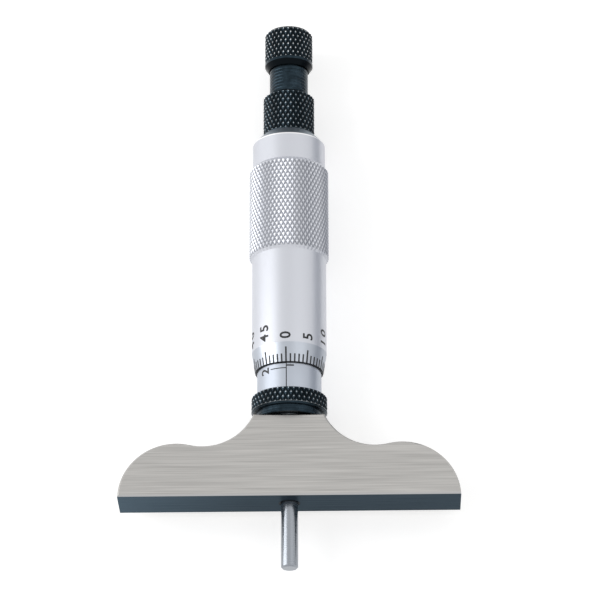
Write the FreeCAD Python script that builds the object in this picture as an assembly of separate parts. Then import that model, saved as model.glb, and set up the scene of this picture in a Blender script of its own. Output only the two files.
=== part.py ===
"""Depth micrometer with ratchet stop, lock nut and interchangeable measuring rod.

Millimetres. The origin is the middle of the base's measuring face, on the spindle axis.
+Y runs up the spindle towards the ratchet, +X along the base, and +Z out of the graduated front.
The tool lies on its back, and reads 24.00 mm.
"""
import FreeCAD, Part
import math
import os

Vector = FreeCAD.Vector

# ---------------------------------------------------------------- fits
running_fit = 0.02       # radial, a shaft that turns or slides in its hole
thread_fit = 0.03        # radial, between mating threads, which are left plain
free_fit = 0.10          # radial, parts that pass without touching
face_gap = 0.05          # axial, faces that turn against each other

# ---------------------------------------------------------------- base
base_width = 63.5
base_thickness = 9.5
base_height = 16.0
wing_radius = 10.8       # convex end of each wing
wing_drop = 0.4          # centre of the wing's arc below the measuring face
shoulder_radius = 10.3   # concave sweep from the wing up to the neck
neck_width = 13.2
base_chamfer = 0.3
rod_hole_countersink = 0.3

# ---------------------------------------------------------------- measuring rod
rod_diameter = 3.175
rod_projection = 12.7
rod_tip_chamfer = 0.28
rod_thread_diameter = 2.8

# ---------------------------------------------------------------- barrel, sleeve and lock
barrel_seat_depth = 10.0
barrel_stub_radius = 3.5
lock_thread_radius = 4.4
barrel_radius = 5.0
sleeve_radius = 6.05
lock_ring_radius = 7.15
lock_ring_width = 3.1
lock_ring_chamfer = 0.4
lock_collar_radius = 6.3
lock_collar_width = 1.4
collet_radius = 2.9
collet_length = 3.6
collet_slit = 0.5
squeeze_slot_width = 0.8
spanner_hole_diameter = 1.4
nut_thread_length = 14.0     # the fixed thread that the spindle screw turns in
adjusting_thread_radius = 4.6
adjusting_nut_radius = 5.6
adjusting_nut_length = 5.5
barrel_slot_width = 0.6
spanner_slot_width = 0.9
spanner_slot_depth = 0.7

# ---------------------------------------------------------------- spindle and thimble
scale_length = 25.0
reading = 24.0
scale_end = 4.0              # from the foot of the sleeve up to its last graduation
overtravel_gap = 0.6         # left below the spindle at the end of its travel
spindle_thread_radius = 3.25
spindle_journal_radius = 3.1
spindle_journal_length = 3.5
thimble_length = 49.0
thimble_edge_radius = 6.4
thimble_bevel_length = 3.9
thimble_radius = 7.05
grip_radius = 7.6
grip_start = 23.0            # from the thimble's graduated edge
grip_length = 18.9
grip_foot_bevel = 0.55
grip_head_bevel = 0.75
thimble_band_radius = 6.93
crown_chamfer = 2.0
thimble_head = 6.4           # solid end of the thimble, clamped on the spindle
taper_foot_radius = 3.9
taper_head_radius = 3.6
stub_radius = 3.2
stub_length = 5.3
thimble_nut_radius = 4.05
thimble_nut_length = 1.7

# ---------------------------------------------------------------- rod nuts and rod cap
nut_across_flats = 4.6
adjuster_length = 1.7
jam_nut_length = 1.3
rod_end_length = 1.2         # rod standing above its jam nut
cap_radius = 4.95
cap_grip_length = 7.85
cap_crown_height = 0.85
neck_radius = 3.7
neck_visible_length = 5.3

# ---------------------------------------------------------------- ratchet
knob_radius = 4.65
knob_length = 8.0
knob_top_chamfer = 0.5
knob_foot_height = 0.95
knob_foot_radius = 3.95
neck_engagement = 1.7        # neck inside the knob's skirt
wheel_radius = 3.4
wheel_thickness = 0.8
tooth_count = 12
tooth_height = 0.4
tooth_outer_radius = 2.95
tooth_inner_radius = 1.9
tooth_clearance_angle = 0.8  # degrees, between the upright tooth faces
ratchet_body_radius = 3.0
ratchet_body_length = 1.15
ratchet_lug_radius = 3.5
ratchet_lug_width = 1.1
ratchet_lug_count = 3
screw_shank_radius = 1.3
screw_thread_radius = 0.95
screw_thread_length = 4.0
screw_head_radius = 2.2
screw_head_height = 0.7
screw_head_depth = 0.15      # the head lies this far below the knob's end
screw_slot_width = 0.5
screw_slot_depth = 0.35
knob_web = 0.9
spring_wire = 0.36           # side of the square wire
spring_turns = 2.0

# ---------------------------------------------------------------- levels along the spindle axis
rod_radius = rod_diameter / 2
rod_thread_radius = rod_thread_diameter / 2
barrel_foot = base_height - barrel_seat_depth
lock_foot = base_height + 2 * face_gap
lock_step = lock_foot + lock_collar_width
lock_top = lock_step + lock_ring_width
sleeve_foot = lock_top + 2 * face_gap
collet_top = sleeve_foot - 0.3
collet_foot = collet_top - collet_length
last_graduation = sleeve_foot + scale_end
travel_down = scale_length - reading
thimble_edge = last_graduation + travel_down
thimble_top = thimble_edge + thimble_length
thimble_floor = thimble_top - thimble_head
barrel_top = thimble_floor - travel_down - 0.8
nut_thread_foot = barrel_top - nut_thread_length
sleeve_top = nut_thread_foot + 1.5
adjusting_nut_foot = barrel_top - 1.0 - adjusting_nut_length
spindle_foot = collet_top + travel_down + overtravel_gap
stub_top = thimble_top + stub_length
thimble_nut_top = thimble_top + thimble_nut_length
adjuster_foot = stub_top + face_gap
jam_nut_foot = adjuster_foot + adjuster_length
rod_top = jam_nut_foot + jam_nut_length + rod_end_length
cap_foot = thimble_top + face_gap
cap_shoulder = cap_foot + cap_grip_length
neck_foot = cap_shoulder + cap_crown_height
knob_foot = neck_foot + neck_visible_length
neck_top = knob_foot + neck_engagement
tooth_foot = neck_top + wheel_thickness
tooth_top = tooth_foot + tooth_height
ratchet_top = tooth_top + running_fit + ratchet_body_length
knob_top = knob_foot + knob_length
screw_head_top = knob_top - screw_head_depth
screw_head_foot = screw_head_top - screw_head_height
web_top = screw_head_foot - face_gap
web_foot = web_top - knob_web
knob_bore_step = tooth_foot + 0.7 * tooth_height + tooth_height

os.makedirs("parts", exist_ok=True)


# ---------------------------------------------------------------- forms
def turned(profile):
    """A solid of revolution about the spindle axis from (radius, height) points."""
    points = [Vector(radius, height, 0) for radius, height in profile]
    face = Part.Face(Part.makePolygon(points + [points[0]]))
    return face.revolve(Vector(0, 0, 0), Vector(0, 1, 0), 360)


def cylinder(radius, foot, top):
    """A plain cylinder on the spindle axis."""
    return Part.makeCylinder(radius, top - foot, Vector(0, foot, 0), Vector(0, 1, 0))


def turn(shape, degrees):
    """The shape turned about the spindle axis, by the right-hand rule."""
    copy = shape.copy()
    copy.rotate(Vector(0, 0, 0), Vector(0, 1, 0), degrees)
    return copy


def radial_bar(width, foot, top, inner, outer):
    """A square bar that stands out from the axis along +Z."""
    return Part.makeBox(width, top - foot, outer - inner, Vector(-width / 2, foot, inner))


def around(shape, count, start=0.0):
    """Equally spaced copies of a shape about the spindle axis."""
    return [turn(shape, start + index * 360.0 / count) for index in range(count)]


def at_angle(radius, degrees, height):
    """A point by its radius, its angle about the axis from +Z, and its height."""
    angle = math.radians(degrees)
    return Vector(radius * math.sin(angle), height, radius * math.cos(angle))


def flat_sided(faces):
    """A closed solid from lists of corner points."""
    shells = [Part.Face(Part.makePolygon(corners + [corners[0]])) for corners in faces]
    return Part.Solid(Part.makeShell(shells))


def write(name, shape):
    """Write one sub-part to its own STEP file."""
    shape.exportStep("parts/%s.step" % name)


# ---------------------------------------------------------------- base
def arc(start, middle, end):
    """An arc in the plane of the base through three (x, y) points."""
    return Part.Arc(*[Vector(x, y, 0) for x, y in (start, middle, end)]).toShape()


def base_outline():
    """The ogee outline: a convex wing at each end, and concave sweeps up to the neck."""
    corner_angle = math.asin(wing_drop / wing_radius)
    wing_x = base_width / 2 - wing_radius * math.cos(corner_angle)
    neck_x = neck_width / 2
    # The shoulder arc's centre: tangent outside the wing arc, and through the neck's corner.
    reach = wing_radius + shoulder_radius
    gap_x, gap_y = neck_x - wing_x, base_height + wing_drop
    gap = math.hypot(gap_x, gap_y)
    along = (reach ** 2 - shoulder_radius ** 2 + gap ** 2) / (2 * gap)
    across = math.sqrt(reach ** 2 - along ** 2)
    centre_x = wing_x + (along * gap_x + across * gap_y) / gap
    centre_y = (along * gap_y - across * gap_x) / gap - wing_drop
    meet_angle = math.atan2(centre_y + wing_drop, centre_x - wing_x)
    neck_angle = math.atan2(base_height - centre_y, neck_x - centre_x)
    neck_angle += 2 * math.pi if neck_angle < 0 else 0

    def wing(angle):
        x = wing_x + wing_radius * math.cos(angle)
        return x, wing_radius * math.sin(angle) - wing_drop

    def shoulder(angle):
        x = centre_x + shoulder_radius * math.cos(angle)
        return x, centre_y + shoulder_radius * math.sin(angle)

    right = [wing(corner_angle), wing((corner_angle + meet_angle) / 2), wing(meet_angle)]
    sweep = [shoulder((meet_angle + math.pi + neck_angle) / 2), (neck_x, base_height)]
    left = [(-x, y) for x, y in right + sweep]
    edges = [arc(*right), arc(right[2], *sweep)]
    edges.append(Part.makeLine(Vector(neck_x, base_height, 0), Vector(-neck_x, base_height, 0)))
    edges.append(arc(left[4], left[3], left[2]))
    edges.append(arc(left[2], left[1], left[0]))
    edges.append(Part.makeLine(Vector(-base_width / 2, 0, 0), Vector(base_width / 2, 0, 0)))
    return Part.Wire(edges)


def make_base():
    """The one-piece ground and lapped base, bored for the rod and the barrel."""
    plate = Part.Face(base_outline()).extrude(Vector(0, 0, base_thickness))
    plate.translate(Vector(0, 0, -base_thickness / 2))
    rims = [edge for edge in plate.Edges if edge.BoundBox.ZLength < 1e-6]
    plate = plate.makeChamfer(base_chamfer, rims)
    rod_hole = rod_radius + running_fit
    mouth = rod_hole + rod_hole_countersink
    bore = turned([
        (0, -1), (mouth + 1, -1), (rod_hole, rod_hole_countersink), (rod_hole, barrel_foot),
        (barrel_stub_radius + running_fit, barrel_foot),
        (barrel_stub_radius + running_fit, base_height + 1), (0, base_height + 1),
    ])
    return plate.cut(bore)


# ---------------------------------------------------------------- barrel, sleeve and lock
def make_barrel():
    """The fixed barrel: screwed in the base, slotted where it is squeezed, threaded at its top."""
    rod_bore = rod_radius + free_fit
    screw_bore = spindle_thread_radius + free_fit
    thread_bore = spindle_thread_radius + running_fit
    barrel = turned([
        (rod_bore, barrel_foot), (barrel_stub_radius, barrel_foot),
        (barrel_stub_radius, base_height), (lock_thread_radius, base_height),
        (lock_thread_radius, sleeve_foot), (barrel_radius, sleeve_foot),
        (barrel_radius, sleeve_top), (adjusting_thread_radius, sleeve_top),
        (adjusting_thread_radius, barrel_top), (thread_bore, barrel_top),
        (thread_bore, nut_thread_foot), (screw_bore, nut_thread_foot),
        (screw_bore, collet_top), (collet_radius + running_fit, collet_top),
        (collet_radius + running_fit, collet_foot), (rod_bore, collet_foot),
    ])
    squeeze = radial_bar(squeeze_slot_width, collet_foot + 0.3, lock_top - 0.5,
                         rod_bore, lock_thread_radius + 1)
    slit = radial_bar(barrel_slot_width, sleeve_top + 1, barrel_top + 1,
                      0, adjusting_thread_radius + 1)
    return barrel.cut(around(squeeze, 3) + around(slit, 3, 60))


def make_sleeve():
    """The graduated sleeve, pushed over the barrel, with its spanner hole at the back."""
    bore = barrel_radius + running_fit
    sleeve = turned([
        (bore, sleeve_foot), (sleeve_radius, sleeve_foot), (sleeve_radius, sleeve_top),
        (bore, sleeve_top),
    ])
    hole = Part.makeCylinder(spanner_hole_diameter / 2, sleeve_radius,
                             Vector(0, sleeve_foot + scale_end / 2, 0), Vector(0, 0, -1))
    return sleeve.cut(hole)


def make_wear_adjusting_nut():
    """The nut that closes the barrel's slotted thread as it wears, with four spanner slots."""
    top = adjusting_nut_foot + adjusting_nut_length
    bore = adjusting_thread_radius + running_fit
    nut = turned([
        (bore, adjusting_nut_foot), (adjusting_nut_radius, adjusting_nut_foot),
        (adjusting_nut_radius, top), (bore, top),
    ])
    slot = radial_bar(spanner_slot_width, top - spanner_slot_depth, top + 1,
                      0, adjusting_nut_radius + 1)
    return nut.cut(around(slot, 4))


def make_lock_collet():
    """The split bush that the lock nut closes on the measuring rod."""
    bore = rod_radius + running_fit
    bush = turned([
        (bore, collet_foot), (collet_radius, collet_foot), (collet_radius, collet_top),
        (bore, collet_top),
    ])
    return bush.cut(radial_bar(collet_slit, collet_foot - 1, collet_top + 1, 0, collet_radius + 1))


def make_lock_nut():
    """The knurled lock nut, trapped between the base and the sleeve."""
    bore = lock_thread_radius + thread_fit
    return turned([
        (bore, lock_foot), (lock_collar_radius, lock_foot), (lock_collar_radius, lock_step),
        (lock_ring_radius - lock_ring_chamfer, lock_step),
        (lock_ring_radius, lock_step + lock_ring_chamfer),
        (lock_ring_radius, lock_top), (bore, lock_top),
    ])


# ---------------------------------------------------------------- spindle and thimble
def make_spindle():
    """The hollow spindle screw: journal, thread, taper for the thimble, stub for the cap."""
    bore = rod_radius + free_fit
    thread_foot = spindle_foot + spindle_journal_length
    return turned([
        (bore, spindle_foot), (spindle_journal_radius, spindle_foot),
        (spindle_journal_radius, thread_foot), (spindle_thread_radius, thread_foot),
        (spindle_thread_radius, thimble_floor), (taper_foot_radius, thimble_floor),
        (taper_head_radius, thimble_top), (stub_radius, thimble_top),
        (stub_radius, stub_top), (bore, stub_top),
    ])


def make_thimble():
    """The thimble: graduated bevel, plain body, knurled grip, plain band and chamfered crown."""
    bore = sleeve_radius + free_fit
    grip_foot = thimble_edge + grip_start
    grip_top = grip_foot + grip_length
    return turned([
        (bore, thimble_edge), (thimble_edge_radius, thimble_edge),
        (thimble_radius, thimble_edge + thimble_bevel_length), (thimble_radius, grip_foot),
        (grip_radius, grip_foot + grip_foot_bevel), (grip_radius, grip_top - grip_head_bevel),
        (thimble_band_radius, grip_top), (thimble_band_radius, thimble_top - crown_chamfer),
        (thimble_band_radius - crown_chamfer, thimble_top),
        (taper_head_radius + running_fit, thimble_top),
        (taper_foot_radius + running_fit, thimble_floor), (bore, thimble_floor),
    ])


def make_thimble_nut():
    """The ring nut that clamps the thimble on the spindle's taper."""
    bore = stub_radius + running_fit
    ring = turned([
        (bore, thimble_top), (thimble_nut_radius, thimble_top),
        (thimble_nut_radius, thimble_nut_top), (bore, thimble_nut_top),
    ])
    slot = radial_bar(spanner_slot_width, thimble_nut_top - spanner_slot_depth,
                      thimble_nut_top + 1, 0, thimble_nut_radius + 1)
    return ring.cut(around(slot, 2))


# ---------------------------------------------------------------- measuring rod
def make_measuring_rod():
    """The rod: lapped flat tip, ground shank through the spindle, threaded upper end."""
    thread_foot = stub_top - 1.5
    return turned([
        (0, -rod_projection), (rod_radius - rod_tip_chamfer, -rod_projection),
        (rod_radius, rod_tip_chamfer - rod_projection), (rod_radius, thread_foot),
        (rod_thread_radius, thread_foot), (rod_thread_radius, rod_top), (0, rod_top),
    ])


def make_hexagon_nut(foot, length):
    """A small hexagon nut on the rod's threaded end."""
    corner = nut_across_flats / 2 / math.cos(math.pi / 6)
    corners = [at_angle(corner, 60.0 * side, foot) for side in range(6)]
    blank = Part.Face(Part.makePolygon(corners + [corners[0]])).extrude(Vector(0, length, 0))
    return blank.cut(cylinder(rod_thread_radius + running_fit, foot - 1, foot + length + 1))


# ---------------------------------------------------------------- rod cap
def make_rod_cap():
    """The knurled cap that holds the rod down, with the ratchet's neck turned in one piece."""
    nut_pocket = thimble_nut_radius + free_fit
    thread_bore = stub_radius + thread_fit
    rod_pocket = nut_across_flats / 2 / math.cos(math.pi / 6) + free_fit
    pocket_top = rod_top + face_gap
    return turned([
        (nut_pocket, cap_foot), (cap_radius, cap_foot), (cap_radius, cap_shoulder),
        (neck_radius, neck_foot),
        (neck_radius, neck_top), (screw_thread_radius + running_fit, neck_top),
        (screw_thread_radius + running_fit, neck_top - screw_thread_length - face_gap),
        (0, neck_top - screw_thread_length - face_gap), (0, pocket_top), (rod_pocket, pocket_top),
        (rod_pocket, stub_top + 2 * face_gap), (thread_bore, stub_top + 2 * face_gap),
        (thread_bore, thimble_nut_top + 2 * face_gap), (nut_pocket, thimble_nut_top + 2 * face_gap),
    ])


# ---------------------------------------------------------------- ratchet
def wedge(high_angle, low_angle, foot, top, hangs):
    """One saw tooth on a ring's face; a hanging tooth points down and fills the space above."""
    def pair(angle, height):
        return [at_angle(radius, angle, height) for radius in (tooth_inner_radius, tooth_outer_radius)]

    upright_angle = low_angle if hangs else high_angle
    corner_height = top if hangs else foot
    near_in, near_out = pair(high_angle, top)
    far_in, far_out = pair(low_angle, foot)
    corner_in, corner_out = pair(upright_angle, corner_height)
    if hangs:
        upright = [far_in, far_out, corner_out, corner_in]
        level = [near_in, near_out, corner_out, corner_in]
    else:
        upright = [near_in, near_out, corner_out, corner_in]
        level = [far_in, far_out, corner_out, corner_in]
    ramp = [[near_in, near_out, far_out], [near_in, far_out, far_in]]
    ends = [[near_in, far_in, corner_in], [near_out, far_out, corner_out]]
    solid = flat_sided([upright, level] + ramp + ends)
    return solid if solid.Volume > 0 else solid.reversed()


def make_ratchet_wheel():
    """The toothed wheel on the neck's end: steep faces drive one way, ramps slip the other."""
    disc = cylinder(wheel_radius, neck_top, tooth_foot)
    pitch = 360.0 / tooth_count
    sink = 0.05
    teeth = []
    for index in range(tooth_count):
        start = index * pitch
        tooth = wedge(start, start + pitch, tooth_foot, tooth_top, False)
        root = [at_angle(radius, angle, tooth_foot - sink)
                for radius, angle in ((tooth_inner_radius, start), (tooth_outer_radius, start),
                                      (tooth_outer_radius, start + pitch),
                                      (tooth_inner_radius, start + pitch))]
        bed = Part.Face(Part.makePolygon(root + [root[0]])).extrude(Vector(0, sink, 0))
        teeth += [tooth, bed]
    wheel = disc.fuse(teeth).removeSplitter()
    return wheel.cut(cylinder(screw_shank_radius + running_fit, neck_top - 1, tooth_top + 1))


def make_ratchet_ring():
    """The sprung ring whose teeth drop into the wheel's, keyed in the knob by its lugs."""
    body_foot = tooth_top + running_fit
    ring = cylinder(ratchet_body_radius, body_foot, ratchet_top)
    lug = radial_bar(ratchet_lug_width, knob_bore_step + face_gap, ratchet_top,
                     ratchet_body_radius - 0.5, ratchet_lug_radius)
    pitch = 360.0 / tooth_count
    teeth = []
    for index in range(tooth_count):
        start = index * pitch
        end = start + pitch - tooth_clearance_angle
        teeth.append(wedge(start, end, tooth_foot + 2 * running_fit, body_foot + running_fit, True))
    ring = ring.fuse(around(lug, ratchet_lug_count) + teeth)
    bore = cylinder(screw_shank_radius + 2 * free_fit, tooth_foot - 1, ratchet_top + 1)
    return ring.cut(bore).removeSplitter()


def make_ratchet_knob():
    """The knurled knob: skirt over the neck, keyed bore for the ring, web, screw recess."""
    skirt = neck_radius + 0.8 * free_fit
    keyed = ratchet_body_radius + free_fit
    recess = screw_head_radius + free_fit
    knob = turned([
        (skirt, knob_foot), (knob_foot_radius, knob_foot),
        (knob_radius, knob_foot + knob_foot_height), (knob_radius, knob_top - knob_top_chamfer),
        (knob_radius - knob_top_chamfer, knob_top), (recess, knob_top), (recess, web_top),
        (screw_shank_radius + running_fit, web_top), (screw_shank_radius + running_fit, web_foot),
        (keyed, web_foot), (keyed, knob_bore_step), (skirt, knob_bore_step),
    ])
    keyway = radial_bar(ratchet_lug_width + 2 * face_gap, knob_bore_step - 0.1, web_foot,
                        ratchet_body_radius - 0.5, ratchet_lug_radius + free_fit)
    return knob.cut(around(keyway, ratchet_lug_count))


def make_ratchet_spring():
    """The square-wire coil spring between the ring and the knob's web."""
    foot = ratchet_top + face_gap + spring_wire / 2
    rise = web_foot - face_gap - spring_wire / 2 - foot
    coil_radius = (screw_shank_radius + 2 * free_fit + ratchet_body_radius) / 2
    helix = Part.makeHelix(rise / spring_turns, rise, coil_radius)
    corners = [Vector(coil_radius + spring_wire / 2 * x, 0, spring_wire / 2 * z)
               for x, z in ((-1, -1), (1, -1), (1, 1), (-1, 1))]
    coil = Part.Wire(helix).makePipeShell([Part.makePolygon(corners + [corners[0]])], True, True)
    coil.rotate(Vector(0, 0, 0), Vector(1, 0, 0), -90)
    coil.translate(Vector(0, foot, 0))
    return coil


def make_ratchet_screw():
    """The shouldered screw that the knob turns on, screwed into the neck."""
    screw = turned([
        (0, neck_top - screw_thread_length), (screw_thread_radius, neck_top - screw_thread_length),
        (screw_thread_radius, neck_top), (screw_shank_radius, neck_top),
        (screw_shank_radius, screw_head_foot), (screw_head_radius, screw_head_foot),
        (screw_head_radius, screw_head_top), (0, screw_head_top),
    ])
    slot = Part.makeBox(2 * screw_head_radius + 2, screw_slot_depth + 1, screw_slot_width,
                        Vector(-screw_head_radius - 1, screw_head_top - screw_slot_depth,
                               -screw_slot_width / 2))
    return screw.cut(slot)


# ---------------------------------------------------------------- the fixed frame
write("base", make_base())
write("barrel", make_barrel())
write("sleeve", make_sleeve())
write("wear_adjusting_nut", make_wear_adjusting_nut())
write("lock_collet", make_lock_collet())
write("lock_nut", make_lock_nut())

# ---------------------------------------------------------------- the rod and its nuts
write("measuring_rod", make_measuring_rod())
write("rod_adjusting_nut", make_hexagon_nut(adjuster_foot, adjuster_length))
write("rod_jam_nut", make_hexagon_nut(jam_nut_foot, jam_nut_length))

# ---------------------------------------------------------------- the spindle and thimble
write("spindle", make_spindle())
write("thimble", make_thimble())
write("thimble_nut", make_thimble_nut())

# ---------------------------------------------------------------- the cap and ratchet
write("rod_cap", make_rod_cap())
write("ratchet_wheel", make_ratchet_wheel())
write("ratchet_screw", make_ratchet_screw())
write("ratchet_knob", make_ratchet_knob())
write("ratchet_ring", make_ratchet_ring())
write("ratchet_spring", make_ratchet_spring())
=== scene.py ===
"""The looks of a depth micrometer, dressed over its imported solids.

Metres, in the frame of the solids: the origin is the middle of the measuring face, +Y runs up
the spindle axis towards the ratchet, +X along the base, and +Z out of the graduated front.
"""
import math

import bmesh
import bpy
from mathutils import Matrix, Vector


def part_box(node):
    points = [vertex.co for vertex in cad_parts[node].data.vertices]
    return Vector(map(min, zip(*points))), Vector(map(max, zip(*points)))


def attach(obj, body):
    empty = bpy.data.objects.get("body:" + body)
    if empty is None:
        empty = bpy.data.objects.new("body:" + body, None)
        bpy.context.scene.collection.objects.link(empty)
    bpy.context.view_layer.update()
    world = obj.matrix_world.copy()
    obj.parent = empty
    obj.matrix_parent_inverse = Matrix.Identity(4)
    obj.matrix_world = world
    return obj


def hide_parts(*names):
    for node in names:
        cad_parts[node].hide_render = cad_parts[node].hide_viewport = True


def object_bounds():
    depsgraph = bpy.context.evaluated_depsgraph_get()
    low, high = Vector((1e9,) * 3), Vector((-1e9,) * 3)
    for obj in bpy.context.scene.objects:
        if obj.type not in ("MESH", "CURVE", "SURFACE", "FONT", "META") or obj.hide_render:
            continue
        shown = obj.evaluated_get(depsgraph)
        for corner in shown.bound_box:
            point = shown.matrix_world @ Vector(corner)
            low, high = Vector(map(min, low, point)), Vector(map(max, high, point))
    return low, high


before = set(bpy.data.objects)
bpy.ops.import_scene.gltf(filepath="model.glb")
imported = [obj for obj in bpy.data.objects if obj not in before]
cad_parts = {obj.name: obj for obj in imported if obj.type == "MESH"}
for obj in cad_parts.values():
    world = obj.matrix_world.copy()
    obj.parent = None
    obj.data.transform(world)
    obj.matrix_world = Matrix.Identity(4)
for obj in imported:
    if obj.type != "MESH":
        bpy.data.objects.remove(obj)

solid_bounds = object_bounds()

# ---------------------------------------------------------------- table and light
# The tool lies on its back on a white table, under a bright soft box at its left and a dimmer
# one at its right. The table keeps its soft shadow, and a grey card that only mirror surfaces
# see darkens the right side of the chrome.
table_size = 6.0
table_paint = (0.80, 0.80, 0.80, 1)
table_lift = (0.55, 0.55, 0.55, 1)
room_white = (1, 1, 1, 1)
room_light, room_seen = 0.55, 1.0
tool_middle = Vector((0, 0.04, 0))

scene = bpy.context.scene
scene.view_settings.view_transform = "Standard"

bpy.ops.object.select_all(action="DESELECT")
bpy.ops.mesh.primitive_plane_add(size=table_size, location=(0, 0, 0))
table = bpy.context.object
table.name = "table"
bpy.ops.object.mode_set(mode="EDIT")
bpy.ops.transform.translate(value=(0, 0, solid_bounds[0][2]))
bpy.ops.mesh.subdivide(number_cuts=2)
bpy.ops.object.mode_set(mode="OBJECT")


def seen_directly(nodes, links):
    """1 for what the camera, a mirror surface or glass sees, and 0 for what only lights."""
    path = nodes.new("ShaderNodeLightPath")
    seen = path.outputs["Is Camera Ray"]
    for ray in ("Is Glossy Ray", "Is Transmission Ray"):
        either = nodes.new("ShaderNodeMath")
        either.operation = "MAXIMUM"
        links.new(seen, either.inputs[0])
        links.new(path.outputs[ray], either.inputs[1])
        seen = either.outputs[0]
    return seen


table_white = bpy.data.materials.new("table_white")
table_white.use_nodes = True
nodes, links = table_white.node_tree.nodes, table_white.node_tree.links
nodes.clear()
matt = nodes.new("ShaderNodeBsdfDiffuse")
matt.inputs["Color"].default_value = table_paint
lift = nodes.new("ShaderNodeEmission")
lift.inputs["Color"].default_value = table_lift
links.new(seen_directly(nodes, links), lift.inputs["Strength"])
both = nodes.new("ShaderNodeAddShader")
links.new(matt.outputs[0], both.inputs[0])
links.new(lift.outputs[0], both.inputs[1])
links.new(both.outputs[0], nodes.new("ShaderNodeOutputMaterial").inputs["Surface"])
table.data.materials.append(table_white)

room = bpy.data.worlds.new("room")
scene.world = room
room.use_nodes = True
nodes, links = room.node_tree.nodes, room.node_tree.links
nodes.clear()
glow = nodes.new("ShaderNodeBackground")
glow.inputs["Color"].default_value = room_white
level = nodes.new("ShaderNodeMapRange")
level.inputs["To Min"].default_value = room_light
level.inputs["To Max"].default_value = room_seen
links.new(seen_directly(nodes, links), level.inputs["Value"])
links.new(level.outputs[0], glow.inputs["Strength"])
links.new(glow.outputs[0], nodes.new("ShaderNodeOutputWorld").inputs["Surface"])


def soft_box(name, place, size, brightness):
    """An area light at a place in metres, aimed at the middle of the tool."""
    lamp = bpy.data.lights.new(name, "AREA")
    lamp.shape = "RECTANGLE"
    lamp.size, lamp.size_y = size
    lamp.energy = brightness * math.pi * size[0] * size[1]
    lamp_object = bpy.data.objects.new(name, lamp)
    scene.collection.objects.link(lamp_object)
    lamp_object.location = place
    aim = Vector(place) - tool_middle
    lamp_object.rotation_euler = aim.to_track_quat("Z", "Y").to_euler()


soft_box("key_left", place=(-0.42, 0.06, 0.20), size=(0.20, 0.50), brightness=3.2)
soft_box("fill_right", place=(0.30, 0.02, 0.45), size=(0.30, 0.40), brightness=0.5)

card_size = (0.0154, 0.092, 1)
card_place = (0.027, 0.066, 0.0002)
card_paint = (0.72, 0.74, 0.78, 1)
bpy.ops.object.select_all(action="DESELECT")
bpy.ops.mesh.primitive_plane_add(size=1.0, location=(0, 0, 0))
card = bpy.context.object
card.name = "grey_card"
bpy.ops.object.mode_set(mode="EDIT")
bpy.ops.transform.resize(value=card_size, center_override=(0, 0, 0))
bpy.ops.transform.rotate(value=math.pi / 2, orient_axis="Y", center_override=(0, 0, 0))
bpy.ops.transform.translate(value=card_place)
bpy.ops.object.mode_set(mode="OBJECT")
card_grey = bpy.data.materials.new("card_grey")
card_grey.use_nodes = True
card_grey.node_tree.nodes["Principled BSDF"].inputs["Base Color"].default_value = card_paint
card.data.materials.append(card_grey)
card.visible_camera = card.visible_diffuse = card.visible_shadow = False

# ---------------------------------------------------------------- camera
# It looks down on the front from 22.5 degrees towards the measuring face, and a little from
# the right, through a long lens.
mm = 0.001
view_tilt = math.radians(22.5)
view_side = math.radians(1.1)
view_roll = math.radians(0.16)
view_distance = 700 * mm
view_middle = Vector((2.05 * mm, 40.8 * mm, 0))

camera = bpy.data.cameras.new("camera")
camera.lens = 221.5
camera.sensor_width = 36
camera.clip_start = 0.01
camera.clip_end = 20
camera_object = bpy.data.objects.new("camera", camera)
scene.collection.objects.link(camera_object)
back = Vector((math.sin(view_side) * math.cos(view_tilt), -math.sin(view_tilt),
               math.cos(view_side) * math.cos(view_tilt)))
right = Vector((0, 1, 0)).cross(back).normalized()
turned = Matrix((right, back.cross(right), back)).transposed().to_4x4()
camera_object.matrix_world = (Matrix.Translation(view_middle + view_distance * back) @ turned
                              @ Matrix.Rotation(-view_roll, 4, "Z"))
scene.camera = camera_object

# ---------------------------------------------------------------- base
# One piece of hardened steel. Its front and back are ground, with the grain along the base,
# and its measuring face is lapped to a mirror, whose dark look is a painted reflection.
ground_grey = (0.455, 0.445, 0.430)
edge_highlight_grey = (0.46, 0.46, 0.46)
dark_reflection_blue = (0.044, 0.066, 0.084)
dark_reflection_tint = (0.58, 0.62, 0.66)
hole_shade_black = (0.020, 0.024, 0.028)
edge_highlight_fade = (0.28 * mm, 0.34 * mm)
lapped_fade = (0.02 * mm, 0.04 * mm)
lapped_left_fade = (-32 * mm, -8 * mm)
hole_shade_fade = (2.0 * mm, 2.1 * mm)


def shade(colour, share):
    """A darker or a lighter share of a colour."""
    return tuple(share * part for part in colour)


def metal(name, colour, roughness):
    """A metal finish. Gives the material, its nodes and links, and its shader."""
    material = bpy.data.materials.new(name)
    material.use_nodes = True
    nodes, links = material.node_tree.nodes, material.node_tree.links
    shader = nodes["Principled BSDF"]
    shader.inputs["Base Color"].default_value = (*colour, 1)
    shader.inputs["Metallic"].default_value = 1.0
    shader.inputs["Roughness"].default_value = roughness
    return material, nodes, links, shader


def grain(nodes, links, scale, detail=3.0):
    """A noise on the piece's own coordinates, with a scale per metre along each axis."""
    where = nodes.new("ShaderNodeTexCoord")
    mapping = nodes.new("ShaderNodeMapping")
    mapping.inputs["Scale"].default_value = scale
    links.new(where.outputs["Object"], mapping.inputs["Vector"])
    noise = nodes.new("ShaderNodeTexNoise")
    noise.inputs["Scale"].default_value = 1.0
    noise.inputs["Detail"].default_value = detail
    links.new(mapping.outputs["Vector"], noise.inputs["Vector"])
    return noise.outputs["Fac"]


def spread(nodes, links, value, low, high, start=0.3, end=0.7):
    """A value between two limits, from a noise or a place."""
    limits = nodes.new("ShaderNodeMapRange")
    for socket, number in (("From Min", start), ("From Max", end), ("To Min", low),
                           ("To Max", high)):
        limits.inputs[socket].default_value = number
    links.new(value, limits.inputs["Value"])
    return limits.outputs["Result"]


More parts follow.
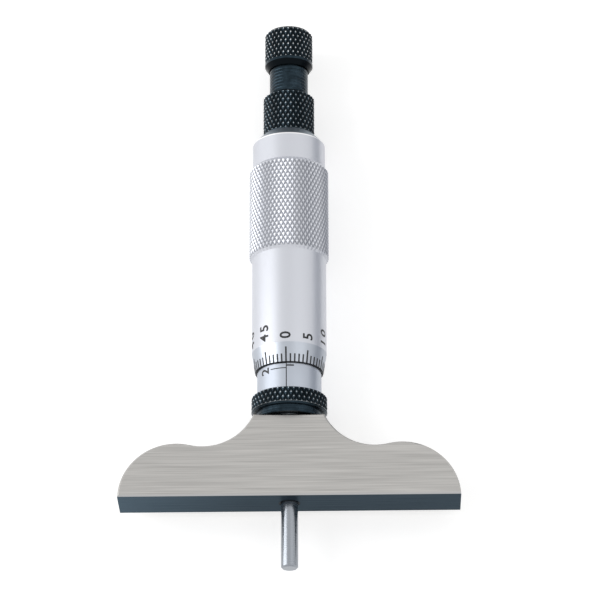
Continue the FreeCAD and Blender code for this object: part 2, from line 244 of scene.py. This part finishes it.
def blended(nodes, links, amount, first, second):
    """A colour between two colours, or between two sockets."""
    mix = nodes.new("ShaderNodeMix")
    mix.data_type = "RGBA"
    links.new(amount, mix.inputs["Factor"])
    for socket, colour in ((mix.inputs[6], first), (mix.inputs[7], second)):
        if isinstance(colour, tuple):
            socket.default_value = (*colour, 1)
        else:
            links.new(colour, socket)
    return mix.outputs[2]


def relief(nodes, links, shader, height, depth):
    """Fine relief of the surface, its depth in millimetres."""
    bump = nodes.new("ShaderNodeBump")
    bump.inputs["Strength"].default_value = 1.0
    bump.inputs["Distance"].default_value = depth * mm
    links.new(height, bump.inputs["Height"])
    links.new(bump.outputs["Normal"], shader.inputs["Normal"])


def place_along(nodes, links, axis):
    """The place of a point along one axis of the piece, in metres."""
    where = nodes.new("ShaderNodeTexCoord")
    split = nodes.new("ShaderNodeSeparateXYZ")
    links.new(where.outputs["Object"], split.inputs["Vector"])
    return split.outputs[axis]


def from_axis(nodes, links):
    """The distance of a point from the spindle axis, in metres."""
    where = nodes.new("ShaderNodeTexCoord")
    across = nodes.new("ShaderNodeVectorMath")
    across.operation = "MULTIPLY"
    across.inputs[1].default_value = (1, 0, 1)
    links.new(where.outputs["Object"], across.inputs[0])
    length = nodes.new("ShaderNodeVectorMath")
    length.operation = "LENGTH"
    links.new(across.outputs["Vector"], length.inputs[0])
    return length.outputs["Value"]


def dress(node, material):
    """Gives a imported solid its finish."""
    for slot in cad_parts[node].material_slots:
        slot.material = material


ground_steel, nodes, links, shader = metal("ground_steel", ground_grey, roughness=0.38)
scratches = grain(nodes, links, scale=(70, 6800, 6800), detail=5)
streaks = grain(nodes, links, scale=(9, 420, 420), detail=2)
brushed = blended(nodes, links, spread(nodes, links, scratches, 0, 1),
                  shade(ground_grey, 0.80), shade(ground_grey, 1.16))
streaked = blended(nodes, links, spread(nodes, links, streaks, 0, 0.18),
                   brushed, shade(ground_grey, 0.80))
height = place_along(nodes, links, "Y")
# Painted highlight: the chamfer above the measuring face is a plain, slightly lighter grey.
edge_highlighted = blended(nodes, links, spread(nodes, links, height, 1, 0, *edge_highlight_fade),
                streaked, edge_highlight_grey)
# Painted reflection: the lapped face is dark blue, lighter at its left end, darker rightwards.
across = place_along(nodes, links, "X")
lapped_left_lighter = blended(nodes, links, spread(nodes, links, across, 0, 1, *lapped_left_fade),
               shade(dark_reflection_blue, 1.45), shade(dark_reflection_blue, 0.72))
lapped = spread(nodes, links, height, 1, 0, *lapped_fade)
faced = blended(nodes, links, lapped, edge_highlighted, lapped_left_lighter)
# Painted shade: the hole round the rod is painted near black.
hole_shade = spread(nodes, links, from_axis(nodes, links), 1, 0, *hole_shade_fade)
links.new(blended(nodes, links, hole_shade, faced, hole_shade_black), shader.inputs["Base Color"])
# The lapped face's specular tint is dimmed for the same painted reflection.
links.new(blended(nodes, links, lapped, (1.0, 1.0, 1.0), dark_reflection_tint),
          shader.inputs["Specular Tint"])
links.new(spread(nodes, links, scratches, 0.30, 0.48), shader.inputs["Roughness"])
relief(nodes, links, shader, scratches, depth=0.0022)
dress("base", ground_steel)

# ---------------------------------------------------------------- barrel and inner parts
# The barrel, the spindle, the nuts and the ratchet's wheel and ring are turned steel, and are
# mostly hidden. The split lock bush is bronze, and the ratchet's spring is wound from wire.
turned_grey = (0.42, 0.43, 0.44)
bronze_brown = (0.62, 0.42, 0.19)
wire_grey = (0.30, 0.30, 0.31)

turned_steel, nodes, links, shader = metal("turned_steel", turned_grey, roughness=0.32)
rings = grain(nodes, links, scale=(300, 9000, 300), detail=2)
links.new(spread(nodes, links, rings, 0.24, 0.42), shader.inputs["Roughness"])
relief(nodes, links, shader, rings, depth=0.002)
for node in ("barrel", "wear_adjusting_nut", "spindle", "thimble_nut", "rod_adjusting_nut",
             "rod_jam_nut", "ratchet_wheel", "ratchet_ring"):
    dress(node, turned_steel)

bronze, nodes, links, shader = metal("bronze", bronze_brown, roughness=0.35)
links.new(spread(nodes, links, grain(nodes, links, scale=(900, 900, 900)), 0.28, 0.45),
          shader.inputs["Roughness"])
dress("lock_collet", bronze)

spring_wire, nodes, links, shader = metal("spring_wire", wire_grey, roughness=0.30)
links.new(spread(nodes, links, grain(nodes, links, scale=(2000, 2000, 2000)), 0.22, 0.38),
          shader.inputs["Roughness"])
dress("ratchet_spring", spring_wire)

# ---------------------------------------------------------------- measuring rod
# A hardened steel rod, ground round and polished, with a lapped tip. It runs up through the
# hollow spindle, and is exchanged for a longer or a shorter one.
polished_grey = (0.30, 0.32, 0.35)

polished_steel, nodes, links, shader = metal("polished_steel", polished_grey, roughness=0.20)
rings = grain(nodes, links, scale=(150, 5000, 150), detail=3)
links.new(spread(nodes, links, rings, 0.16, 0.30), shader.inputs["Roughness"])
relief(nodes, links, shader, rings, depth=0.0008)
dress("measuring_rod", polished_steel)

# ---------------------------------------------------------------- lock nut
# A blackened steel ring with a 30-degree diamond knurl, on a smooth collar that is trapped
# between the base and the sleeve.
black_blue = (0.020, 0.032, 0.042)
# Painted shade: the near black painted into the knurl grooves.
groove_shade_black = (0.003, 0.004, 0.005)
# Painted shade: the near black of the knob's foot bevel.
bevel_shade_black = (0.006, 0.008, 0.010)
# Lighter crests on the black knurls: wear to bare steel, and a painted highlight.
wear_and_highlight_steel = (0.480, 0.520, 0.540)
weld_gap = 0.001
crease_angle = math.radians(8)


def lathe(name, sides, profile):
    """A turned piece: a ring of points drawn out from one (radius, height) in millimetres to
    the next and back to the first, about the spindle axis. A ring smaller than the weld gap
    closes to a point."""
    bpy.ops.object.select_all(action="DESELECT")
    radius, height = profile[0]
    bpy.ops.mesh.primitive_circle_add(vertices=sides, radius=radius * mm, enter_editmode=True)
    piece = bpy.context.object
    piece.name = piece.data.name = name
    bpy.context.tool_settings.mesh_select_mode = (True, False, False)
    bpy.ops.transform.rotate(value=math.pi / 2, orient_axis="X", center_override=(0, 0, 0))
    bpy.ops.transform.translate(value=(0, height * mm, 0))
    for next_radius, next_height in profile[1:] + profile[:1]:
        bpy.ops.mesh.extrude_region_move(
            TRANSFORM_OT_translate={"value": (0, (next_height - height) * mm, 0)})
        ratio = next_radius / radius
        bpy.ops.transform.resize(value=(ratio, 1, ratio),
                                 center_override=(0, next_height * mm, 0))
        radius, height = next_radius, next_height
    bpy.ops.mesh.select_all(action="SELECT")
    bpy.ops.mesh.remove_doubles(threshold=weld_gap * mm)
    bpy.ops.mesh.delete_loose(use_verts=True, use_edges=True, use_faces=False)
    bpy.ops.mesh.select_all(action="SELECT")
    bpy.ops.mesh.normals_make_consistent(inside=False)
    bpy.ops.object.mode_set(mode="OBJECT")
    return piece


def band(foot, top, rows, radius, top_radius=None):
    """The rings of a knurled band, as (radius, height) points."""
    top_radius = radius if top_radius is None else top_radius
    return [(radius + (top_radius - radius) * row / rows, foot + (top - foot) * row / rows)
            for row in range(rows + 1)]


def knurl(piece, diamonds, rings, depth, flat):
    """Cuts crossed grooves in a band: every second point of its rings is pressed in by the
    depth, and the crests are left with small flats."""
    height_slack, radius_slack, depth_slack = 0.01, 0.02, 0.05
    bpy.ops.object.select_all(action="DESELECT")
    bpy.context.view_layer.objects.active = piece
    bpy.ops.object.mode_set(mode="EDIT")
    bpy.ops.mesh.select_all(action="DESELECT")

    def on_band(vert):
        """The column and row of a point of the band, or None."""
        height = vert.co.y / mm
        radius = math.hypot(vert.co.x, vert.co.z) / mm
        for row, (ring_radius, ring_height) in enumerate(rings):
            if (abs(height - ring_height) < height_slack
                    and abs(radius - ring_radius) < radius_slack):
                return round(math.atan2(vert.co.x, vert.co.z) * diamonds / math.pi), row
        return None

    mesh = bmesh.from_edit_mesh(piece.data)
    crests = []
    for vert in mesh.verts:
        spot = on_band(vert)
        if spot is not None:
            vert.select = (spot[0] + spot[1]) % 2 == 0
            if not vert.select and 0 < spot[1] < len(rings) - 1:
                crests.append(vert.co.copy())
    bmesh.update_edit_mesh(piece.data)
    pressed = 1 - depth / rings[0][0]
    bpy.ops.transform.resize(value=(pressed, 1, pressed), center_override=(0, 0, 0))
    bpy.ops.mesh.select_all(action="DESELECT")
    mesh = bmesh.from_edit_mesh(piece.data)
    foot, top = rings[0][1] - height_slack, rings[-1][1] + height_slack
    inner = min(radius for radius, height in rings) - depth - depth_slack
    for face in mesh.faces:
        face.select = all(foot < vert.co.y / mm < top
                          and math.hypot(vert.co.x, vert.co.z) / mm > inner
                          for vert in face.verts)
    bmesh.update_edit_mesh(piece.data)
    bpy.ops.mesh.quads_convert_to_tris(quad_method="SHORTEST_DIAGONAL")
    bpy.ops.mesh.select_all(action="DESELECT")
    mesh = bmesh.from_edit_mesh(piece.data)
    keys = {tuple(round(c / mm, 2) for c in crest) for crest in crests}
    for vert in mesh.verts:
        vert.select = tuple(round(c / mm, 2) for c in vert.co) in keys
    bmesh.update_edit_mesh(piece.data)
    bpy.ops.mesh.bevel(offset=flat * mm, affect="VERTICES", segments=1)
    bpy.ops.object.mode_set(mode="OBJECT")


def finished(piece, material, body, slot, *replaced):
    """Shades a new piece, gives it its finish, and lets it ride on its body."""
    bpy.ops.object.select_all(action="DESELECT")
    piece.select_set(True)
    bpy.context.view_layer.objects.active = piece
    bpy.ops.object.shade_smooth_by_angle(angle=crease_angle)
    piece.data.materials.clear()
    piece.data.materials.append(material)
    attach(piece, body)
    if replaced:
        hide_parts(*replaced)


def between(nodes, links, value, low, high, soft):
    """1 between two limits and 0 outside them, in metres."""
    rise = spread(nodes, links, value, 0, 1, low, low + soft)
    fall = spread(nodes, links, value, 1, 0, high - soft, high)
    product = nodes.new("ShaderNodeMath")
    product.operation = "MULTIPLY"
    links.new(rise, product.inputs[0])
    links.new(fall, product.inputs[1])
    return product.outputs[0]


def knurl_tones(nodes, links, plain, radius, depth, foot, top, pit_shade, crest):
    """Paints shade into a knurled band's grooves and a highlight onto its crests."""
    flank, land = (radius - 0.30 * depth) * mm, (radius - 0.06 * depth) * mm
    band_fade = 0.05 * mm
    out = from_axis(nodes, links)
    on_band = between(nodes, links, place_along(nodes, links, "Y"), foot * mm, top * mm,
                      band_fade)
    groove = spread(nodes, links, out, 0, 1, (radius - depth) * mm, flank)
    tone = blended(nodes, links, groove, pit_shade, plain)
    tone = blended(nodes, links, spread(nodes, links, out, 0, 1, flank, land), tone, crest)
    return blended(nodes, links, on_band, plain, tone)


def blackened(name, radius, depth, foot, top, crest, bevel_top=0.0):
    """The blackened finish of a piece with a knurled band, with painted shade in its grooves
    and on the bevel at its foot where it has one, and crests lighter from wear and painted
    highlight."""
    bevel_shade_fade = 0.05
    material, nodes, links, shader = metal(name, black_blue, roughness=0.32)
    mottle = grain(nodes, links, scale=(900, 900, 900), detail=4)
    plain = blended(nodes, links, spread(nodes, links, mottle, 0, 1),
                    shade(black_blue, 0.65), shade(black_blue, 1.45))
    toned = knurl_tones(nodes, links, plain, radius, depth, foot, top, groove_shade_black, crest)
    # Painted shade: the bevel at the foot is painted near black.
    bevel = spread(nodes, links, place_along(nodes, links, "Y"), 1, 0,
                   (bevel_top - bevel_shade_fade) * mm, bevel_top * mm)
    links.new(blended(nodes, links, bevel, toned, bevel_shade_black), shader.inputs["Base Color"])
    links.new(spread(nodes, links, mottle, 0.20, 0.32), shader.inputs["Roughness"])
    pores = grain(nodes, links, scale=(4000, 4000, 4000), detail=2)
    relief(nodes, links, shader, pores, depth=0.0015)
    return material


low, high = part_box("lock_nut")
lock_foot, lock_top = low.y / mm, high.y / mm
lock_bore = 4.43
collar_edge, collar_radius, collar_groove = 6.15, 6.30, 6.27
collar_top, step_top = lock_foot + 1.40, lock_foot + 1.72
step_inner, step_outer = 6.75, 7.13
lock_radius, lock_edge, lock_diamonds = 7.15, 7.00, 44
knurl_depth = 0.22
lock_crest_flat = 0.06
lock_knurl = band(lock_top - 2.75, lock_top - 0.15, 3, lock_radius)
collar = [(collar_edge, lock_foot), (collar_radius, lock_foot + 0.15)]
for groove in (lock_foot + 0.50, lock_foot + 1.00):
    collar += [(collar_radius, groove - 0.05), (collar_groove, groove),
               (collar_radius, groove + 0.05)]
lock_nut = lathe("lock_nut_knurled", 2 * lock_diamonds, [
    (lock_bore, lock_foot), *collar, (collar_radius, collar_top), (step_inner, collar_top),
    (step_outer, step_top), *lock_knurl, (lock_edge, lock_top), (lock_bore, lock_top)])
knurl(lock_nut, lock_diamonds, lock_knurl, knurl_depth, lock_crest_flat)
black_lock_nut = blackened("black_lock_nut", lock_radius, knurl_depth, lock_top - 2.9,
                           lock_top - 0.1, wear_and_highlight_steel)
finished(lock_nut, black_lock_nut, "lock", "black_oxide", "lock_nut")

# ---------------------------------------------------------------- sleeve
# The fixed sleeve is satin chromed. Its scale is engraved and filled with black: whole
# millimetres to the left of the datum line, halves to its right, and a number every five. Here
# the filling is laid on the chrome, and stands a hair proud of it.
sleeve_chrome = (0.450, 0.485, 0.545)
ink_black = (0.012, 0.013, 0.015)
ink_height, ink_thickness = 0.012, 0.03

satin_chrome, nodes, links, shader = metal("satin_chrome", sleeve_chrome, roughness=0.36)
haze = grain(nodes, links, scale=(2600, 2600, 2600), detail=3)
cloud = grain(nodes, links, scale=(120, 160, 120), detail=2)
links.new(blended(nodes, links, spread(nodes, links, cloud, 0, 1),
                  shade(sleeve_chrome, 0.95), shade(sleeve_chrome, 1.05)),
          shader.inputs["Base Color"])
links.new(spread(nodes, links, haze, 0.32, 0.42), shader.inputs["Roughness"])
relief(nodes, links, shader, haze, depth=0.0012)
dress("sleeve", satin_chrome)

scale_black, nodes, links, shader = metal("scale_black", ink_black, roughness=0.5)
shader.inputs["Metallic"].default_value = 0.0
links.new(spread(nodes, links, grain(nodes, links, scale=(3000, 3000, 3000)), 0.42, 0.60),
          shader.inputs["Roughness"])


def turned_by(angle):
    """Turns what is selected about the spindle axis, from the front towards +X."""
    bpy.ops.transform.rotate(value=-math.radians(angle), orient_axis="Y",
                             center_override=(0, 0, 0))


def wrapped(marks, radius, width):
    """Lays flat marks, drawn at the front, on a round of that radius in millimetres."""
    mandrel_sides, mandrel_length = 720, 0.2
    longest_flat = 0.3
    bpy.ops.object.select_all(action="DESELECT")
    bpy.ops.mesh.primitive_cylinder_add(vertices=mandrel_sides, radius=radius * mm,
                                        depth=mandrel_length, end_fill_type="NOTHING",
                                        rotation=(math.pi / 2, 0, 0))
    mandrel = bpy.context.object
    bpy.ops.object.transform_apply(location=False, rotation=True, scale=False)
    bpy.ops.object.select_all(action="DESELECT")
    marks.select_set(True)
    bpy.context.view_layer.objects.active = marks
    bpy.ops.object.mode_set(mode="EDIT")
    cuts = max(2, round(width / longest_flat))
    for cut in range(1, cuts):
        bpy.ops.mesh.select_all(action="SELECT")
        bpy.ops.mesh.bisect(plane_co=((cut / cuts - 0.5) * width * mm, 0, 0),
                            plane_no=(1, 0, 0))
    bpy.ops.object.mode_set(mode="OBJECT")
    wrap = marks.modifiers.new("wrap", "SHRINKWRAP")
    wrap.target = mandrel
    wrap.wrap_method = "NEAREST_SURFACEPOINT"
    bpy.ops.object.modifier_apply(modifier="wrap")
    wall = marks.modifiers.new("wall", "SOLIDIFY")
    wall.thickness = ink_thickness * mm
    wall.offset = -1
    bpy.ops.object.modifier_apply(modifier="wall")
    bpy.data.objects.remove(mandrel)


def mark(width, height, x, y, radius):
    """A filled line on a round, width by height, its middle at x along the round."""
    bpy.ops.object.select_all(action="DESELECT")
    bpy.ops.mesh.primitive_plane_add(size=mm, enter_editmode=True)
    bpy.ops.transform.resize(value=(width, height, 1), center_override=(0, 0, 0))
    bpy.ops.transform.translate(value=(0, y * mm, radius * mm))
    bpy.ops.object.mode_set(mode="OBJECT")
    line = bpy.context.object
    wrapped(line, radius, width)
    bpy.ops.object.mode_set(mode="EDIT")
    bpy.ops.mesh.select_all(action="SELECT")
    turned_by(math.degrees(x / radius))
    bpy.ops.object.mode_set(mode="OBJECT")
    return line


def figure(words, size, y, angle, radius):
    """A figure on a round, read from the base upwards, its middle at y."""
    figure_share, stroke_growth, room_each = 0.73, 0.030, 1.2
    bpy.ops.object.select_all(action="DESELECT")
    bpy.ops.object.text_add(rotation=(0, 0, math.pi / 2))
    text = bpy.context.object
    text.data.body = words
    text.data.size = size * mm / figure_share
    text.data.align_x = "CENTER"
    text.data.offset = stroke_growth * size * mm
    text.data.align_y = "CENTER"
    text.data.resolution_u = 3
    text.location = (0, y * mm, radius * mm)
    bpy.ops.object.convert(target="MESH")
    text = bpy.context.object
    bpy.ops.object.transform_apply(location=True, rotation=True, scale=True)
    wrapped(text, radius, room_each * size)
    bpy.ops.object.mode_set(mode="EDIT")
    bpy.ops.mesh.select_all(action="SELECT")
    turned_by(angle)
    bpy.ops.object.mode_set(mode="OBJECT")
    return text


def number_at(number, size, pitch, y, angle, radius):
    """The figures of a number, the first centred at y and the next one pitch further up."""
    return [figure(digit, size, y + place * pitch, angle, radius)
            for place, digit in enumerate(str(number))]


def joined(name, pieces):
    """Several marks as one piece."""
    bpy.ops.object.select_all(action="DESELECT")
    for piece in pieces:
        piece.select_set(True)
    bpy.context.view_layer.objects.active = pieces[0]
    if len(pieces) > 1:
        bpy.ops.object.join()
    piece = bpy.context.object
    piece.name = piece.data.name = name
    return piece


sleeve_radius = 6.05
scale_zero, scale_length, figured_every = 49.7, 25, 5
datum_angle, datum_width, datum_overrun = -4.1, 0.19, 0.6
datum_x = math.radians(datum_angle) * sleeve_radius
fifth_line, whole_line, whole_width = 3.2, 2.1, 0.17
half_line, half_width = 1.45, 0.28
figures_angle, figures_drop = datum_angle - 42, 0.1
sleeve_ink = sleeve_radius + ink_height
low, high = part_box("sleeve")
scale_foot = low.y / mm
lines = [mark(datum_width, scale_zero + datum_overrun - scale_foot, datum_x,
              (scale_zero + datum_overrun + scale_foot) / 2, sleeve_ink)]
for millimetre in range(scale_length + 1):
    length = fifth_line if millimetre % figured_every == 0 else whole_line
    lines.append(mark(length, whole_width, datum_x - length / 2, scale_zero - millimetre,
                      sleeve_ink))
    if millimetre < scale_length:
        lines.append(mark(half_line, half_width, datum_x + half_line / 2,
                          scale_zero - millimetre - 0.5, sleeve_ink))
finished(joined("sleeve_scale_lines", lines), scale_black, "frame", None)
figures = [digit for number in range(0, scale_length + 1, figured_every)
           for digit in number_at(number, size=2.0, pitch=1.9,
                                  y=scale_zero - number - figures_drop,
                                  angle=figures_angle, radius=sleeve_ink)]
finished(joined("sleeve_scale_figures", figures), scale_black, "frame", None)

# ---------------------------------------------------------------- thimble
# The satin chromed thimble turns round the sleeve, once for each half millimetre. Its bevelled
# edge has fifty divisions, and a 30-degree diamond knurl is rolled round its grip.
low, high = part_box("thimble")
edge, crown = low.y / mm, high.y / mm
thimble_bore = 6.15
edge_inner, edge_radius, body_radius = 6.32, 6.40, 7.05
bevel_length = 3.9
grip_radius, grip_diamonds = 7.60, 55
grip_depth, grip_crest_flat = 0.20, 0.06
grip_foot, grip_top = edge + 23.0, edge + 41.9
band_radius = 6.93
crown_foot, crown_rim = crown - 2.0, 4.93
taper_head, taper_foot, web_height = 3.62, 3.92, crown - 6.4
grip = band(grip_foot + 0.55, grip_top - 0.75, 23, grip_radius)
thimble = lathe("thimble_knurled", 2 * grip_diamonds, [
    (thimble_bore, edge), (edge_inner, edge), (edge_radius, edge + 0.10),
    (body_radius, edge + bevel_length), (body_radius, grip_foot), *grip,
    (band_radius, grip_top), (band_radius, crown_foot), (crown_rim, crown),
    (taper_head, crown), (taper_foot, web_height), (thimble_bore, web_height)])
knurl(thimble, grip_diamonds, grip, grip_depth, grip_crest_flat)

thimble_chrome = (0.585, 0.600, 0.645)
# Painted shade: the grey painted into the grip's knurl grooves.
groove_shade_grey = (0.26, 0.27, 0.30)
# Painted highlight: the lighter colour on the grip's knurl crests.
crest_highlight = (0.78, 0.79, 0.80)
bevel_shade_chrome = (0.430, 0.460, 0.510)
arris_highlight = (0.90, 0.90, 0.91)
crown_reflection_dark = (0.200, 0.240, 0.280)
rim_shadow_black = (0.008, 0.010, 0.012)
rim_shadow_fade = ((edge + 0.15) * mm, (edge + 0.17) * mm)
bevel_shade_fade = ((edge + 3.8) * mm, (edge + 4.0) * mm)
arris_foot, arris_top, arris_fade = (crown - 2.25) * mm, (crown - 1.95) * mm, 0.08 * mm
crown_reflection_fade = (crown_foot * mm, (crown - 1.9) * mm)

knurled_chrome, nodes, links, shader = metal("knurled_chrome", thimble_chrome, roughness=0.36)
haze = grain(nodes, links, scale=(2600, 2600, 2600), detail=3)
toned = knurl_tones(nodes, links, thimble_chrome, grip_radius, grip_depth, grip_foot + 0.45,
                    grip_top - 0.60, groove_shade_grey, crest_highlight)
along = place_along(nodes, links, "Y")
# Painted shade: the graduated bevel is painted a darker chrome.
bevel = spread(nodes, links, along, 1, 0, *bevel_shade_fade)
toned = blended(nodes, links, bevel, toned, bevel_shade_chrome)
# Painted highlight: a bright line painted at the foot of the crown chamfer.
arris_highlight_mask = between(nodes, links, along, arris_foot, arris_top, arris_fade)
toned = blended(nodes, links, arris_highlight_mask, toned, arris_highlight)
# Painted reflection: the crown chamfer is painted dark, for the black cap it mirrors.
crown_reflected = spread(nodes, links, along, 0, 1, *crown_reflection_fade)
toned = blended(nodes, links, crown_reflected, toned, crown_reflection_dark)
# Painted shadow: the edge of the thimble is painted black, for the shadow in the gap.
rim = spread(nodes, links, along, 1, 0, *rim_shadow_fade)
links.new(blended(nodes, links, rim, toned, rim_shadow_black), shader.inputs["Base Color"])
links.new(spread(nodes, links, haze, 0.32, 0.42), shader.inputs["Roughness"])
relief(nodes, links, shader, haze, depth=0.0012)
finished(thimble, knurled_chrome, "screw", "satin_chrome", "thimble")

bevel_slope = math.atan2(body_radius - edge_radius, bevel_length)


def tick(length, width, foot):
    """A filled line up the thimble's bevel, from just above its edge, at the front."""
    bpy.ops.object.select_all(action="DESELECT")
    bpy.ops.mesh.primitive_cube_add(size=mm, enter_editmode=True)
    bpy.ops.transform.resize(value=(width, length, ink_thickness), center_override=(0, 0, 0))
    bpy.ops.transform.translate(value=(0, (foot + length / 2) * mm, 0))
    bpy.ops.transform.rotate(value=-bevel_slope, orient_axis="X", center_override=(0, 0, 0))
    bpy.ops.transform.translate(value=(0, edge * mm, edge_radius * mm))
    bpy.ops.object.mode_set(mode="OBJECT")
    return bpy.context.object


def repeated(piece, start, step, count):
    """Turns a mark to its first place, and copies it round the thimble."""
    bpy.ops.object.mode_set(mode="EDIT")
    bpy.ops.mesh.select_all(action="SELECT")
    turned_by(start)
    for copy in range(count - 1):
        bpy.ops.mesh.duplicate()
        turned_by(step)
    bpy.ops.object.mode_set(mode="OBJECT")
    return piece


divisions = 50
division = 360 / divisions
fifth = figured_every * division
tick_foot, tick_length, tick_width = 0.10, 1.55, 0.28
fifth_length, zero_length, fifth_width = 2.45, 2.85, 0.31
fifths = divisions // figured_every
figures_middle = edge + 5.2
ticks = [repeated(tick(tick_length, tick_width, tick_foot), datum_angle + index * division,
                  fifth, fifths) for index in range(1, figured_every)]
ticks.append(repeated(tick(fifth_length, fifth_width, tick_foot), datum_angle + fifth,
                      fifth, fifths - 1))
ticks.append(repeated(tick(zero_length, fifth_width, tick_foot), datum_angle, fifth, 1))
finished(joined("thimble_divisions", ticks), scale_black, "screw", None)
figures = [digit for number in range(0, divisions, figured_every)
           for digit in number_at(number, size=2.1, pitch=1.95, y=figures_middle,
                                  angle=datum_angle + number * division,
                                  radius=body_radius + ink_height)]
finished(joined("thimble_figures", figures), scale_black, "screw", None)

# ---------------------------------------------------------------- rod cap
# A blackened steel cap with a knurled grip screws down over the end of the rod and its nuts.
# The ratchet's neck, with its turned rings, is one piece with it.
low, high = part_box("rod_cap")
cap_foot, cap_top = low.y / mm, high.y / mm
shoulder = cap_foot + 7.85
cap_edge, cap_radius, cap_diamonds = 4.80, 4.95, 31
cap_crown_radius, cap_crown_height = 3.75, 0.82
cap_crest_flat = 0.07
neck_radius, neck_groove = 3.70, 3.65
neck_foot, neck_pitch, neck_rings = shoulder + 0.85, 0.66, 8
nut_pocket, thread_bore, rod_pocket, screw_bore = 4.15, 3.23, 2.756, 0.97
thread_foot, thread_top = cap_foot + 1.75, cap_foot + 5.35
pocket_top, screw_floor = cap_top - 6.1, cap_top - 4.05
on_axis = 0.0004

cap_knurl = (band(cap_foot + 0.15, shoulder, 9, cap_radius)
             + band(shoulder, shoulder + cap_crown_height, 2, cap_radius, cap_crown_radius)[1:])
neck = []
for ring in range(neck_rings):
    ring_foot = neck_foot + ring * neck_pitch
    neck += [(neck_radius, ring_foot), (neck_radius, ring_foot + 0.40),
             (neck_groove, ring_foot + 0.53)]
rod_cap = lathe("rod_cap_knurled", 2 * cap_diamonds, [
    (nut_pocket, cap_foot), (cap_edge, cap_foot), *cap_knurl, *neck, (neck_radius, cap_top),
    (screw_bore, cap_top), (screw_bore, screw_floor), (on_axis, screw_floor),
    (on_axis, pocket_top), (rod_pocket, pocket_top), (rod_pocket, thread_top),
    (thread_bore, thread_top), (thread_bore, thread_foot), (nut_pocket, thread_foot)])
knurl(rod_cap, cap_diamonds, cap_knurl, knurl_depth, cap_crest_flat)
black_rod_cap = blackened("black_rod_cap", cap_radius, knurl_depth, cap_foot + 0.1, shoulder,
                          wear_and_highlight_steel)
finished(rod_cap, black_rod_cap, "cap", "black_oxide", "rod_cap")

# ---------------------------------------------------------------- ratchet knob
# The knob slips on the ratchet when the rod touches. It is blackened steel with a diamond
# knurl, a plain rim at its foot, and a recess for the slotted screw that holds it.
low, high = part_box("ratchet_knob")
knob_foot, knob_top = low.y / mm, high.y / mm
knob_radius, knob_diamonds = 4.65, 30
knob_crown_foot, knob_crown_radius, knob_crown_edge = knob_top - 0.50, 4.17, 4.10
knob_crest_flat = 0.07
rim_edge, rim_radius = 3.95, 4.62
rim_bevel_top, rim_top = knob_foot + 0.95, knob_foot + 1.50
skirt_bore, keyed_bore, screw_recess, screw_hole = 3.78, 3.60, 2.30, 1.32
bore_step = knob_foot + 2.6
web_top, web_foot = knob_top - 0.9, knob_top - 1.8
# The knob's crests are painted near white: wear, brightened into a painted highlight.
knob_wear_and_highlight_steel = (0.93, 0.95, 0.95)

knob_knurl = (band(knob_foot + 1.55, knob_crown_foot, 7, knob_radius)
              + band(knob_crown_foot, knob_top - 0.02, 1, knob_radius, knob_crown_radius)[1:])
ratchet_knob = lathe("ratchet_knob_knurled", 2 * knob_diamonds, [
    (skirt_bore, knob_foot), (rim_edge, knob_foot), (rim_radius, rim_bevel_top),
    (rim_radius, rim_top), *knob_knurl, (knob_crown_edge, knob_top),
    (screw_recess, knob_top), (screw_recess, web_top), (screw_hole, web_top),
    (screw_hole, web_foot), (keyed_bore, web_foot), (keyed_bore, bore_step),
    (skirt_bore, bore_step)])
knurl(ratchet_knob, knob_diamonds, knob_knurl, knurl_depth, knob_crest_flat)
black_knob = blackened("black_ratchet_knob", knob_radius, knurl_depth, knob_foot + 1.52,
                       knob_top - 0.45, knob_wear_and_highlight_steel, bevel_top=knob_foot + 1.0)
finished(ratchet_knob, black_knob, "knob", "black_oxide", "ratchet_knob")
dress("ratchet_screw", black_knob)
